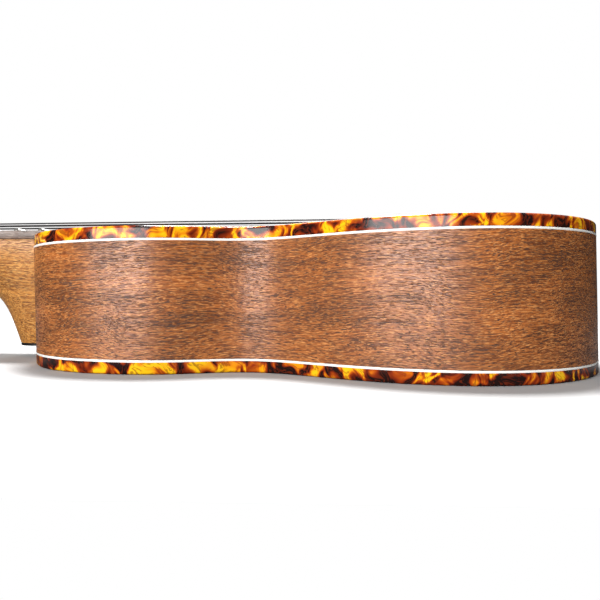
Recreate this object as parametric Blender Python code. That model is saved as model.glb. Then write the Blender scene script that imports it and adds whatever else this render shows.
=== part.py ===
"""A soprano ukulele: a bent-side wooden body with tortoise-patterned binding, a glued neck and four geared
tuners.

Everything is modelled in the top's own plane: X runs from the neck joint (0) to the tail, Y across, and
Z up out of the soundboard, whose outer face is at Z = 0. The back isn't parallel to the soundboard, because
the body grows deeper towards the tail. One empty, "instrument", turns all of it by that small angle, so that
the finished instrument lies flat on its back at Z = 0, centred on the origin. The neck hangs from a second
empty, which pitches it up a little, as string tension does, and the headstock and the tuners hang from a
third, which tilts them back from the nut.
"""

import math

import bmesh
import bpy
from mathutils import Matrix, Vector

# ---- driving dimensions, in metres ----
SCALE_LENGTH = 0.350
BODY_LENGTH = 0.241
NECK_END_DEPTH = 0.0521
TAIL_END_DEPTH = 0.0609
FRET_COUNT = 12
LAST_FRET_X = 0.0020
GAP = 0.0003
TRIM_GAP = 0.0001

# ---- body shell ----
UPPER_BOUT = (0.052, 0.070)
WAIST = (0.095, 0.057)
LOWER_BOUT = (0.170, 0.087)
SIDE_THICKNESS = 0.0018
PLATE_THICKNESS = 0.0020
BINDING_WIDTH = 0.0015
BINDING_HEIGHT = 0.0045
PURFLING_HEIGHT = 0.0007
LINING_WIDTH = 0.0045
LINING_HEIGHT = 0.0100
SOUNDHOLE_X = 0.084
SOUNDHOLE_RADIUS = 0.026
ROSETTE_INNER = 0.0285
ROSETTE_OUTER = 0.0315
ROSETTE_DEPTH = 0.0006
NECK_BLOCK_HALF_WIDTH = 0.027
NECK_BLOCK_END = 0.028
TAIL_BLOCK_HALF_WIDTH = 0.022
TAIL_BLOCK_START = 0.224

# ---- neck and fretboard, in the neck's own plane ----
NECK_PITCH = math.radians(1.1)
NUT_HALF_WIDTH = 0.01775
JOINT_HALF_WIDTH = 0.0215
FRETBOARD_THICKNESS = 0.0038
FRETBOARD_END_X = 0.0048
FRET_HEIGHT = 0.0010
FRET_HALF_WIDTH = 0.0010
TANG_HALF_WIDTH = 0.00025
TANG_DEPTH = 0.0014
TANG_END_CUT = 0.0010
NUT_THICKNESS = 0.0040
NUT_TOP = 0.0058
NECK_DEPTH_AT_NUT = 0.0145
HEEL_START_X = -0.052
HEEL_START_DEPTH = 0.0172
HEEL_FOOT_X = -0.0141
HEEL_DEPTH = 0.0455
HEEL_FOOT_HALF_WIDTH = 0.0115
HEEL_CAP_THICKNESS = 0.0012
DOWEL_RADIUS = 0.004
DOWEL_Z = -0.024
DOWEL_ENDS = (-0.013, 0.020)

# ---- headstock ----
HEAD_TILT = math.radians(12)
HEAD_THICKNESS = 0.0120
VENEER_THICKNESS = 0.0010
HEAD_TIP = 0.1095
HEAD_START_HALF_WIDTH = 0.0174

# ---- strings, bridge and saddle ----
STRING_RADII = (0.00031, 0.00045, 0.00038, 0.00030)
NUT_SPREAD = 0.0285
SADDLE_SPREAD = 0.0400
SADDLE_COMPENSATION = 0.0015
SADDLE_TOP = 0.0048
SADDLE_THICKNESS = 0.0026
SADDLE_HALF_LENGTH = 0.0255
SADDLE_SLOT_FLOOR = 0.0016
BRIDGE_HALF_LENGTH = 0.031
BRIDGE_HEIGHT = 0.0040
BRIDGE_TAIL_HEIGHT = 0.0031
BRIDGE_FRONT = 0.0090
BRIDGE_REAR = 0.0130
STRING_SLOT_WIDTH = 0.0014
STRING_SLOT_FLOOR = 0.0017

# ---- tuners, measured from each post's axis on the headstock's face ----
POST_XS = (-0.030, -0.064)
POST_Y = 0.015
POST_RADIUS = 0.0030
POST_WAIST_RADIUS = 0.0024
POST_TOP = 0.0150
STRING_HOLE_RADIUS = 0.0008
WRAP_HEIGHT = 0.0076
BUSHING_RADIUS = 0.0039
BUSHING_BORE = 0.00315
FLANGE_RADIUS = 0.0052
FLANGE_THICKNESS = 0.0010
POST_HOLE_RADIUS = 0.0041
GEAR_RADIUS = 0.0047
GEAR_THICKNESS = 0.0030
WORM_RADIUS = 0.0021
WORM_OFFSET = 0.0071
SHAFT_RADIUS = 0.0017
HOUSING_HEIGHT = 0.0084
HOUSING_X = (-0.0105, 0.0066)
HOUSING_Y = (-0.0066, 0.0090)
BUTTON_Y = (0.0146, 0.0272)
BUTTON_HALF_WIDTH = 0.0068
BUTTON_HALF_THICKNESS = 0.0031

# ---- worked out from the driving dimensions ----
TAPER = (TAIL_END_DEPTH - NECK_END_DEPTH) / BODY_LENGTH
BACK_ANGLE = math.atan(TAPER)
NUT_X = LAST_FRET_X - SCALE_LENGTH / 2
SADDLE_X = NUT_X + SCALE_LENGTH + SADDLE_COMPENSATION
HEAD_ORIGIN_X = NUT_X - NUT_THICKNESS - GAP
HOUSING_TOP = -HEAD_THICKNESS - GAP
GEAR_TOP = HOUSING_TOP - 0.0022
WORM_Z = GEAR_TOP - GEAR_THICKNESS / 2
ROUND = 24


# ---------------------------------------------------------------- materials

def material(name, colour, roughness, metallic=0.0):
    made = bpy.data.materials.new(name)
    made.use_nodes = True
    shader = made.node_tree.nodes["Principled BSDF"]
    shader.inputs["Base Color"].default_value = (*colour, 1.0)
    shader.inputs["Roughness"].default_value = roughness
    shader.inputs["Metallic"].default_value = metallic
    return made


def make_materials():
    return {
        "body_wood": material("body_wood", (0.23, 0.085, 0.035), 0.42),
        "neck_wood": material("neck_wood", (0.42, 0.22, 0.085), 0.5),
        "inner_wood": material("inner_wood", (0.50, 0.31, 0.15), 0.7),
        "dark_wood": material("dark_wood", (0.09, 0.05, 0.035), 0.55),
        "tortoise": material("tortoise", (0.45, 0.12, 0.01), 0.2),
        "white_plastic": material("white_plastic", (0.85, 0.83, 0.78), 0.35),
        "black_plastic": material("black_plastic", (0.012, 0.012, 0.013), 0.35),
        "bone": material("bone", (0.80, 0.76, 0.66), 0.4),
        "nylon": material("nylon", (0.05, 0.05, 0.055), 0.3),
        "nickel": material("nickel", (0.62, 0.61, 0.59), 0.28, 1.0),
        "chrome": material("chrome", (0.72, 0.72, 0.73), 0.15, 1.0),
        "button_plastic": material("button_plastic", (0.80, 0.76, 0.66), 0.3),
    }


# ---------------------------------------------------------------- mesh helpers

def add_object(name, data, finish, parent):
    """One named object, shaded smooth where the faces meet gently."""
    if isinstance(data, bmesh.types.BMesh):
        mesh = bpy.data.meshes.new(name)
        bmesh.ops.recalc_face_normals(data, faces=data.faces)
        data.to_mesh(mesh)
        data.free()
        mesh.shade_smooth()
        mesh.set_sharp_from_angle(angle=math.radians(35))
        data = mesh
    obj = bpy.data.objects.new(name, data)
    obj.data.materials.append(finish)
    bpy.context.scene.collection.objects.link(obj)
    obj.parent = parent
    return obj


def hide_helper(obj):
    obj.hide_render = True
    obj.display_type = "WIRE"
    return obj


def boolean(obj, other, operation="DIFFERENCE"):
    modifier = obj.modifiers.new(other.name, "BOOLEAN")
    modifier.operation = operation
    modifier.object = other
    return obj


def loft(rows, closed_rows=True, caps=True):
    """A solid through equal rows of points: each row is a closed loop, and the end rows are capped."""
    bm = bmesh.new()
    made = [[bm.verts.new(p) for p in row] for row in rows]
    count = len(rows[0])
    last = count if closed_rows else count - 1
    for a, b in zip(made, made[1:]):
        for i in range(last):
            j = (i + 1) % count
            bm.faces.new((a[i], a[j], b[j], b[i]))
    if caps:
        bm.faces.new(made[0])
        bm.faces.new(list(reversed(made[-1])))
    return bm


def prism(points, low, high):
    """An outline of (x, y) points, extruded from height low(x) to high(x)."""
    floor = [(x, y, low(x)) for x, y in points]
    roof = [(x, y, high(x)) for x, y in points]
    return loft([floor, roof])


def box(x, y, z):
    """A box from three (lowest, highest) pairs."""
    corners = [(x[0], y[0]), (x[1], y[0]), (x[1], y[1]), (x[0], y[1])]
    return prism(corners, lambda _: z[0], lambda _: z[1])


def turned(profile, sides=ROUND, centre=(0.0, 0.0)):
    """A solid of revolution about Z from (radius, z) points, which start and end on or off the axis."""
    rows = []
    for radius, z in profile:
        row = []
        for i in range(sides):
            a = 2 * math.pi * i / sides
            row.append((centre[0] + radius * math.cos(a), centre[1] + radius * math.sin(a), z))
        rows.append(row)
    return rows


def turned_solid(profile, sides=ROUND, centre=(0.0, 0.0)):
    return loft(turned(profile, sides, centre))


def turned_ring(profile, sides=ROUND, centre=(0.0, 0.0)):
    """A ring about Z: the profile is a closed loop that doesn't reach the axis."""
    return ring_from_loops(turned(profile, sides, centre))


def ring_from_loops(loops):
    """A closed ring: each loop runs round the ring, and the last loop joins the first."""
    bm = bmesh.new()
    made = [[bm.verts.new(p) for p in loop] for loop in loops]
    count = len(loops[0])
    for k, a in enumerate(made):
        b = made[(k + 1) % len(made)]
        for i in range(count):
            j = (i + 1) % count
            bm.faces.new((a[i], a[j], b[j], b[i]))
    return bm


def cylinder_between(start, end, radius, sides=ROUND):
    """A cylinder from one point to another."""
    start, end = Vector(start), Vector(end)
    bm = turned_solid([(radius, 0.0), (radius, (end - start).length)], sides)
    turn = (end - start).to_track_quat("Z", "Y").to_matrix().to_4x4()
    bm.transform(Matrix.Translation(start) @ turn)
    return bm


# ---------------------------------------------------------------- the body's outline

def bezier(p0, p1, p2, p3, count):
    """Points and unit directions along one cubic curve, without its last point."""
    made = []
    for k in range(count):
        t = k / count
        s = 1 - t
        corners = list(zip(p0, p1, p2, p3))
        point = [s**3 * a + 3 * s * s * t * b + 3 * s * t * t * c + t**3 * d for a, b, c, d in corners]
        slope = [s * s * (b - a) + 2 * s * t * (c - b) + t * t * (d - c) for a, b, c, d in corners]
        size = math.hypot(*slope)
        made.append((point[0], point[1], slope[0] / size, slope[1] / size))
    return made


def half_outline_stations():
    """The treble half of the body's outline, from the neck joint round to the tail, with its directions."""
    (ux, uy), (wx, wy), (lx, ly) = UPPER_BOUT, WAIST, LOWER_BOUT
    end = BODY_LENGTH
    stations = bezier((0, 0), (0, 0.044), (ux - 0.0357, uy), (ux, uy), 11)
    stations += bezier((ux, uy), (ux + 0.0176, uy), (wx - 0.0146, wy), (wx, wy), 6)
    stations += bezier((wx, wy), (wx + 0.0183, wy), (lx - 0.0383, ly), (lx, ly), 8)
    stations += bezier((lx, ly), (lx + 0.035, ly), (end, 0.0505), (end, 0), 13)
    return [*stations, (end, 0.0, 0.0, -1.0)]


STATIONS = half_outline_stations()


def half_outline(inset, neck_y=0.0, tail_y=0.0):
    """Points of the treble half, moved in by inset, cut within neck_y or tail_y of the centre line."""
    points = [(x + inset * ty, y - inset * tx) for x, y, tx, ty in STATIONS]
    middle = len(points) // 2
    for cut, side in ((neck_y, 0), (tail_y, 1)):
        if cut <= 0:
            continue
        run = points[:middle] if side == 0 else list(reversed(points[middle:]))
        k = next(i for i, p in enumerate(run) if p[1] > cut)
        (xa, ya), (xb, yb) = run[k - 1], run[k]
        first = (xa + (xb - xa) * (cut - ya) / (yb - ya), cut)
        run = [first, *run[k:]]
        points = run + points[middle:] if side == 0 else points[:middle] + list(reversed(run))
        middle = len(run) if side == 0 else middle
    return points


def full_outline(inset):
    """The closed outline, moved in by inset."""
    half = half_outline(inset)
    mirrored = [(x, -y) for x, y in reversed(half[1:-1])]
    return half + mirrored


def half_width_at(x, inset):
    points = half_outline(inset)
    for (xa, ya), (xb, yb) in zip(points, points[1:]):
        if xa <= x <= xb and xb > xa:
            return ya + (yb - ya) * (x - xa) / (xb - xa)
    raise ValueError(f"the body isn't {x} long")


def back(height):
    """A height function: this far in from the back's outer face, measured square to the soundboard."""
    return lambda x: -(NECK_END_DEPTH + TAPER * x) + height


def top(depth):
    return lambda _: -depth


def ring(outer_inset, inner_inset, low, high):
    """A closed band round the body between two insets of the outline and two heights."""
    outer, inner = full_outline(outer_inset), full_outline(inner_inset)
    loops = [[(x, y, low(x)) for x, y in outer], [(x, y, high(x)) for x, y in outer]]
    loops += [[(x, y, high(x)) for x, y in inner], [(x, y, low(x)) for x, y in inner]]
    return ring_from_loops(loops)


def half_band(outer_inset, inner_inset, section, side, neck_y, tail_y):
    """A strip along one half of the body. section is (share of the width, height function) points."""
    outer = half_outline(outer_inset, neck_y, tail_y)
    inner = half_outline(inner_inset, neck_y, tail_y)
    rows = []
    for (xo, yo), (xi, yi) in zip(outer, inner):
        row = []
        for share, height in section:
            x, y = xo + (xi - xo) * share, yo + (yi - yo) * share
            row.append((x, side * y, height(x)))
        rows.append(row)
    return loft(rows)


# ---------------------------------------------------------------- the body

def make_plates(finish, root):
    inset = BINDING_WIDTH + TRIM_GAP
    plate = prism(full_outline(inset), top(PLATE_THICKNESS), top(0.0))
    soundboard = add_object("soundboard", plate, finish["body_wood"], root)
    hole = turned_solid([(SOUNDHOLE_RADIUS, -0.01), (SOUNDHOLE_RADIUS, 0.01)], 40, (SOUNDHOLE_X, 0))
    boolean(soundboard, hide_helper(add_object("soundhole_cutter", hole, finish["body_wood"], root)))
    floor = -ROSETTE_DEPTH - TRIM_GAP
    inner, outer = ROSETTE_INNER - TRIM_GAP, ROSETTE_OUTER + TRIM_GAP
    profile = [(inner, floor), (outer, floor), (outer, 0.002), (inner, 0.002)]
    groove = turned_ring(profile, 40, (SOUNDHOLE_X, 0))
    boolean(soundboard, hide_helper(add_object("rosette_cutter", groove, finish["body_wood"], root)))
    inlay = [(ROSETTE_INNER, -ROSETTE_DEPTH), (ROSETTE_OUTER, -ROSETTE_DEPTH)]
    inlay += [(ROSETTE_OUTER, 0), (ROSETTE_INNER, 0)]
    add_object("rosette", turned_ring(inlay, 40, (SOUNDHOLE_X, 0)), finish["white_plastic"], root)
    back_plate = prism(full_outline(inset), back(0.0), back(PLATE_THICKNESS))
    add_object("back_plate", back_plate, finish["body_wood"], root)


def make_sides(finish, root, dowel):
    low = back(BINDING_HEIGHT + PURFLING_HEIGHT + 2 * TRIM_GAP)
    high = top(BINDING_HEIGHT + PURFLING_HEIGHT + 2 * TRIM_GAP)
    section = [(0, low), (0, high), (1, high), (1, low)]
    for name, side in (("side_bass", -1), ("side_treble", 1)):
        strip = half_band(0.0, SIDE_THICKNESS, section, side, GAP, GAP)
        boolean(add_object(name, strip, finish["body_wood"], root), dowel)


def make_linings(finish, root):
    """Kerfed strips that widen the glueing edge inside the sides, under the soundboard and over the back."""
    outer = SIDE_THICKNESS + GAP
    shelf = PLATE_THICKNESS + GAP
    shoulder, foot = shelf + LINING_HEIGHT * 0.4, shelf + LINING_HEIGHT
    sections = {
        "top": [(0, top(shelf)), (1, top(shelf)), (1, top(shoulder)), (0, top(foot))],
        "back": [(0, back(shelf)), (1, back(shelf)), (1, back(shoulder)), (0, back(foot))],
    }
    for edge, section in sections.items():
        for name, side in (("bass", -1), ("treble", 1)):
            neck_y, tail_y = NECK_BLOCK_HALF_WIDTH + GAP, TAIL_BLOCK_HALF_WIDTH + GAP
            strip = half_band(outer, outer + LINING_WIDTH, section, side, neck_y, tail_y)
            add_object(f"{edge}_lining_{name}", strip, finish["inner_wood"], root)


def make_blocks(finish, root, dowel):
    """The neck block and the tail block, shaped to the inside of the sides."""
    inset = SIDE_THICKNESS + GAP
    low, high = back(PLATE_THICKNESS + GAP), top(PLATE_THICKNESS + GAP)
    half = half_outline(inset)
    for name, width, edge, at_neck in (
        ("neck_block", NECK_BLOCK_HALF_WIDTH, NECK_BLOCK_END, True),
        ("tail_block", TAIL_BLOCK_HALF_WIDTH, TAIL_BLOCK_START, False),
    ):
        trimmed = half_outline(inset, width, 0) if at_neck else half_outline(inset, 0, width)
        corner = trimmed[0] if at_neck else trimmed[-1]
        run = [p for p in half if p[1] < width and (p[0] < edge) == at_neck]
        run = [*run, corner] if at_neck else [corner, *run]
        face = [(edge, width)]
        points = run + face if at_neck else face + run
        mirrored = [(x, -y) for x, y in reversed(points) if y > 0]
        block = add_object(name, prism(points + mirrored, low, high), finish["inner_wood"], root)
        if at_neck:
            boolean(block, dowel)


def make_binding(finish, root):
    """The tortoise binding on both edges, and the white purfling line that runs beside each."""
    line = BINDING_HEIGHT + TRIM_GAP
    add_object("top_binding", ring(0, BINDING_WIDTH, top(BINDING_HEIGHT), top(0)), finish["tortoise"], root)
    purfling = ring(0, BINDING_WIDTH, top(line + PURFLING_HEIGHT), top(line))
    add_object("top_purfling", purfling, finish["white_plastic"], root)
    back_binding = ring(0, BINDING_WIDTH, back(TRIM_GAP / 2), back(BINDING_HEIGHT))
    add_object("back_binding", back_binding, finish["tortoise"], root)
    purfling = ring(0, BINDING_WIDTH, back(line), back(line + PURFLING_HEIGHT))
    add_object("back_purfling", purfling, finish["white_plastic"], root)


def make_braces(finish, root):
    """Cross braces with tapered ends, and the bridge's reinforcing plate."""
    lining = SIDE_THICKNESS + LINING_WIDTH + 3 * GAP
    shelf = PLATE_THICKNESS + GAP
    half_thickness, height = 0.003, 0.009
    for name, x, level in (
        ("top_brace_upper", 0.046, top),
        ("top_brace_lower", 0.122, top),
        ("back_brace_upper", 0.070, back),
        ("back_brace_lower", 0.165, back),
    ):
        reach = min(half_width_at(x - half_thickness, lining), half_width_at(x + half_thickness, lining))
        shape = [(-reach, 0), (reach, 0), (reach, 0.25), (0.7 * reach, 1), (-0.7 * reach, 1), (-reach, 0.25)]
        rows = []
        for edge in (x - half_thickness, x + half_thickness):
            rows.append([(edge, y, level(shelf + rise * height)(edge)) for y, rise in shape])
        add_object(name, loft(rows), finish["inner_wood"], root)
    plate = box((SADDLE_X - 0.013, SADDLE_X + 0.017), (-0.031, 0.031), (-shelf - 0.0018, -shelf))
    add_object("bridge_plate", plate, finish["inner_wood"], root)


# ---------------------------------------------------------------- the neck

def neck_half_width(x):
    return NUT_HALF_WIDTH + (JOINT_HALF_WIDTH - NUT_HALF_WIDTH) * (x - NUT_X) / -NUT_X


def neck_rows():
    """Sections of the neck from under the nut to the heel's foot. Each is (edge x, edge z, half width, ridge
    x, ridge z, fullness): the edge is where it meets the fretboard or the body, and the ridge is its back.
    """
    rows = []
    start = HEAD_ORIGIN_X - 0.010
    for k in range(7):
        x = start + (HEEL_START_X - start) * k / 7
        depth = NECK_DEPTH_AT_NUT + (HEEL_START_DEPTH - NECK_DEPTH_AT_NUT) * k / 7
        rows.append((x, 0.0, neck_half_width(max(x, NUT_X)), x, -depth, 2.2))
    ridge = bezier(
        (HEEL_START_X, -HEEL_START_DEPTH), (-0.0218, -0.0172), (-0.0192, -0.028),
        (HEEL_FOOT_X, -HEEL_DEPTH), 12
    )
    ridge.append((HEEL_FOOT_X, -HEEL_DEPTH, 0, 0))
    into_body = 0.004
    for k, (rx, rz, _, _) in enumerate(ridge):
        share = k / (len(ridge) - 1)
        along_top = min(share / 0.45, 1.0)
        down = max((share - 0.45) / 0.55, 0.0)
        ex = HEEL_START_X + (into_body - HEEL_START_X) * along_top
        ez = -HEEL_DEPTH * down
        width = neck_half_width(ex) + (HEEL_FOOT_HALF_WIDTH - JOINT_HALF_WIDTH) * down**1.25
        rows.append((ex, ez, width, rx, rz, 2.2 + 0.5 * share))
    return rows


def neck_section(row, count=7):
    """A half-round section between its two edges by way of the ridge, as a superellipse."""
    ex, ez, width, rx, rz, power = row
    points = []
    for k in range(2 * count + 1):
        a = math.pi * k / (2 * count)
        reach = max(math.sin(a), 0.0) ** (2 / power)
        y = math.copysign(abs(math.cos(a)) ** (2 / power), math.cos(a)) * width
        points.append((ex + (rx - ex) * reach, y, ez + (rz - ez) * reach))
    return points


def head_outline(start_x):
    """The headstock's outline in its own plane: X runs back from the tip to the nut, so it is negative."""
    w = HEAD_START_HALF_WIDTH
    half = [(start_x, w, 0, 0)]
    half += bezier((-0.002, w), (-0.014, w), (-0.013, 0.0245), (-0.030, 0.0255), 6)
    half += bezier((-0.030, 0.0255), (-0.052, 0.0266), (-0.078, 0.0275), (-0.099, 0.0285), 3)
    half += bezier((-0.099, 0.0285), (-0.106, 0.0288), (-0.109, 0.0265), (-HEAD_TIP, 0.021), 5)
    half += bezier((-HEAD_TIP, 0.021), (-0.1105, 0.011), (-0.1065, 0.006), (-0.1065, 0.0), 5)
    treble = [(x, y) for x, y, _, _ in half]
    middle = [(-0.1065, 0.0)]
    return treble + middle + [(x, -y) for x, y in reversed(treble)]


def post_places():
    """Where the four posts stand on the headstock, named by the string that each one holds."""
    near, far = POST_XS
    return {"g": (near, -1), "c": (far, -1), "e": (far, 1), "a": (near, 1)}


def make_neck(finish, root, plane, head, dowel):
    envelope = prism(full_outline(-GAP), lambda _: -0.08, lambda _: 0.01)
    envelope = hide_helper(add_object("body_envelope", envelope, finish["neck_wood"], root))
    neck = add_object("neck", loft([neck_section(row) for row in neck_rows()]), finish["neck_wood"], plane)
    blank = prism(head_outline(0.004), lambda _: -HEAD_THICKNESS, lambda _: 0.0)
    blank = hide_helper(add_object("headstock_blank", blank, finish["neck_wood"], head))
    boolean(neck, blank, "UNION")
    boolean(neck, envelope)
    boolean(neck, dowel)
    above = box((-0.25, 0.01), (-0.05, 0.05), (0.0, 0.02))
    floor = add_object("nut_seat_cutter", above, finish["neck_wood"], plane)
    boolean(neck, hide_helper(floor))
    above = box((-0.14, 0.002), (-0.05, 0.05), (0.0, 0.02))
    face = add_object("headstock_face_cutter", above, finish["neck_wood"], head)
    boolean(neck, hide_helper(face))
    veneer = prism(head_outline(-0.0004), lambda _: GAP, lambda _: GAP + VENEER_THICKNESS)
    veneer = add_object("headstock_veneer", veneer, finish["dark_wood"], head)
    for string, (x, side) in post_places().items():
        hole = turned_solid([(POST_HOLE_RADIUS, -0.02), (POST_HOLE_RADIUS, 0.01)], ROUND, (x, side * POST_Y))
        hole = hide_helper(add_object(f"post_hole_cutter_{string}", hole, finish["neck_wood"], head))
        boolean(neck, hole)
        boolean(veneer, hole)
    foot = neck_section(neck_rows()[-1])
    base = -HEEL_DEPTH - TRIM_GAP
    cap = prism([(x, y) for x, y, _ in foot], lambda _: base - HEEL_CAP_THICKNESS, lambda _: base)
    boolean(add_object("heel_cap", cap, finish["black_plastic"], plane), envelope)


def make_dowel(finish, root):
    """The dowel that aligns and holds the heel on the neck block, and the hole that it sits in."""
    axis_y = 0.0
    (start, end), hole_gap = DOWEL_ENDS, GAP
    dowel = cylinder_between((start, axis_y, DOWEL_Z), (end, axis_y, DOWEL_Z), DOWEL_RADIUS, 16)
    add_object("neck_dowel", dowel, finish["inner_wood"], root)
    hole = cylinder_between(
        (start - hole_gap, axis_y, DOWEL_Z), (end + hole_gap, axis_y, DOWEL_Z), DOWEL_RADIUS + hole_gap, 16
    )
    return hide_helper(add_object("dowel_hole_cutter", hole, finish["inner_wood"], root))


def fret_x(number):
    return NUT_X + SCALE_LENGTH * (1 - 2 ** (-number / 12))


def make_fretboard(finish, plane):
    ends = (NUT_X + TRIM_GAP, FRETBOARD_END_X)
    outline = [(x, neck_half_width(x)) for x in ends]
    outline += [(x, -neck_half_width(x)) for x in reversed(ends)]
    low, high = GAP, FRETBOARD_THICKNESS
    plank = prism(outline, lambda _: low, lambda _: high)
    board = add_object("fretboard", plank, finish["dark_wood"], plane)
    slots = bmesh.new()
    scratch = bpy.data.meshes.new("slot")
    width = TANG_HALF_WIDTH + TRIM_GAP
    for number in range(1, FRET_COUNT + 1):
        x = fret_x(number)
        half = neck_half_width(x) - TANG_END_CUT + TRIM_GAP
        slot = box((x - width, x + width), (-half, half), (high - TANG_DEPTH - TRIM_GAP, high + 0.001))
        slot.to_mesh(scratch)
        slot.free()
        slots.from_mesh(scratch)
    bpy.data.meshes.remove(scratch)
    boolean(board, hide_helper(add_object("fret_slot_cutter", slots, finish["dark_wood"], plane)))
    for number in range(1, FRET_COUNT + 1):
        make_fret(number, finish, plane)


def make_fret(number, finish, plane):
    """One fret: a rounded crown with slanted ends, on a thin tang that stops short of them."""
    x = fret_x(number)
    reach = neck_half_width(x)
    base = FRETBOARD_THICKNESS + TRIM_GAP / 2
    crown = []
    for k in range(7):
        a = math.pi * k / 6
        crown.append((x + FRET_HALF_WIDTH * math.cos(a), base + FRET_HEIGHT * math.sin(a)))
    slant = 0.6
    inner = reach - TANG_END_CUT
    shallow, deep = base - 0.00003, FRETBOARD_THICKNESS - TANG_DEPTH
    rows = []
    for y, floor in ((-reach, shallow), (-inner - 0.00002, shallow), (-inner, deep), (inner, deep),
                     (inner + 0.00002, shallow), (reach, shallow)):
        tang = [(x - TANG_HALF_WIDTH, base), (x - TANG_HALF_WIDTH, floor)]
        tang += [(x + TANG_HALF_WIDTH, floor), (x + TANG_HALF_WIDTH, base)]
        dressed = slant if abs(y) > inner + 0.0001 else 0.0
        slants = [math.copysign(dressed * max(pz - base, 0.0), y) for _, pz in crown + tang]
        rows.append([(px, y - cut, pz) for (px, pz), cut in zip(crown + tang, slants)])
    add_object(f"fret_{number:02d}", loft(rows), finish["nickel"], plane)


# ---------------------------------------------------------------- strings, nut, bridge

def string_y(index, spread):
    return -spread / 2 + spread * index / 3


def neck_to_top(x, y, z):
    """A point in the neck's plane, in the soundboard's plane."""
    c, s = math.cos(NECK_PITCH), math.sin(NECK_PITCH)
    return (x * c + z * s, y, z * c - x * s)


def head_to_top(x, y, z):
    """A point in the headstock's plane, in the soundboard's plane."""
    c, s = math.cos(HEAD_TILT), math.sin(HEAD_TILT)
    return neck_to_top(HEAD_ORIGIN_X + x * c - z * s, y, x * s + z * c)


def string_path(index, name):
    """The string's centre line: from behind the bridge, over the saddle and the nut, to its post."""
    radius = STRING_RADII[index]
    y_saddle, y_nut = string_y(index, SADDLE_SPREAD), string_y(index, NUT_SPREAD)
    post_x, side = post_places()[name]
    wrap = side * (POST_Y - POST_RADIUS - radius - GAP)
    rest = radius + TRIM_GAP
    path = [
        (SADDLE_X + BRIDGE_REAR + 0.0014, y_saddle, STRING_SLOT_FLOOR + 0.0009),
        (SADDLE_X + 0.0012, y_saddle, SADDLE_TOP + rest - 0.0003),
        (SADDLE_X - 0.0006, y_saddle, SADDLE_TOP + rest),
        neck_to_top(NUT_X, y_nut, NUT_TOP - 0.0004 + rest),
        neck_to_top(NUT_X - NUT_THICKNESS, y_nut, NUT_TOP - 0.0007 + rest),
        head_to_top(post_x, wrap, WRAP_HEIGHT + index % 2 * 0.0004),
    ]
    return [Vector(p) for p in path]


def make_strings(finish, root):
    for index, name in enumerate(post_places()):
        curve = bpy.data.curves.new(f"string_{name}", "CURVE")
        curve.dimensions = "3D"
        curve.bevel_depth = STRING_RADII[index]
        curve.bevel_resolution = 2
        curve.use_fill_caps = True
        spline = curve.splines.new("POLY")
        path = string_path(index, name)
        spline.points.add(len(path) - 1)
        for point, place in zip(spline.points, path):
            point.co = (*place, 1.0)
        add_object(f"string_{name}", curve, finish["nylon"], root)


def make_nut(finish, plane):
    x = (NUT_X - NUT_THICKNESS, NUT_X - TRIM_GAP)
    nut = box(x, (-NUT_HALF_WIDTH, NUT_HALF_WIDTH), (GAP, NUT_TOP))
    nut = add_object("nut", nut, finish["bone"], plane)
    for index, name in enumerate(post_places()):
        radius = STRING_RADII[index] + TRIM_GAP * 1.5
        y = string_y(index, NUT_SPREAD)
        low = NUT_TOP - 0.0009
        slot = box((x[0] - 0.002, x[1] + 0.002), (y - radius, y + radius), (low, NUT_TOP + 0.002))
        boolean(nut, hide_helper(add_object(f"nut_slot_cutter_{name}", slot, finish["bone"], plane)))


def make_bridge(finish, root):
    front, rear = SADDLE_X - BRIDGE_FRONT, SADDLE_X + BRIDGE_REAR
    profile = [(front, GAP), (front, BRIDGE_HEIGHT - 0.0016), (front + 0.0016, BRIDGE_HEIGHT)]
    profile += [(SADDLE_X + 0.0045, BRIDGE_HEIGHT), (rear, BRIDGE_TAIL_HEIGHT), (rear, GAP)]
    rows = [[(x, y, z) for x, z in profile] for y in (-BRIDGE_HALF_LENGTH, BRIDGE_HALF_LENGTH)]
    bridge = add_object("bridge", loft(rows), finish["dark_wood"], root)
    half_slot = SADDLE_THICKNESS / 2 + TRIM_GAP
    reach = SADDLE_HALF_LENGTH + TRIM_GAP
    slot = box((SADDLE_X - half_slot, SADDLE_X + half_slot), (-reach, reach), (SADDLE_SLOT_FLOOR, 0.01))
    boolean(bridge, hide_helper(add_object("saddle_slot_cutter", slot, finish["dark_wood"], root)))
    for index, name in enumerate(post_places()):
        y, half = string_y(index, SADDLE_SPREAD), STRING_SLOT_WIDTH / 2
        cut = box((SADDLE_X + 0.0005, rear + 0.002), (y - half, y + half), (STRING_SLOT_FLOOR, 0.01))
        cutter = add_object(f"string_slot_cutter_{name}", cut, finish["dark_wood"], root)
        boolean(bridge, hide_helper(cutter))
    make_saddle(finish, root)


def make_saddle(finish, root):
    half = SADDLE_THICKNESS / 2
    floor = SADDLE_SLOT_FLOOR + TRIM_GAP
    profile = [(SADDLE_X - half, floor), (SADDLE_X - half, SADDLE_TOP - 0.0009)]
    profile += [(SADDLE_X - half * 0.5, SADDLE_TOP)]
    profile += [(SADDLE_X + half * 0.2, SADDLE_TOP - 0.0002), (SADDLE_X + half, SADDLE_TOP - 0.0014)]
    profile += [(SADDLE_X + half, floor)]
    rows = [[(x, y, z) for x, z in profile] for y in (-SADDLE_HALF_LENGTH, SADDLE_HALF_LENGTH)]
    add_object("saddle", loft(rows), finish["bone"], root)


# ---------------------------------------------------------------- tuners

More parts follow.
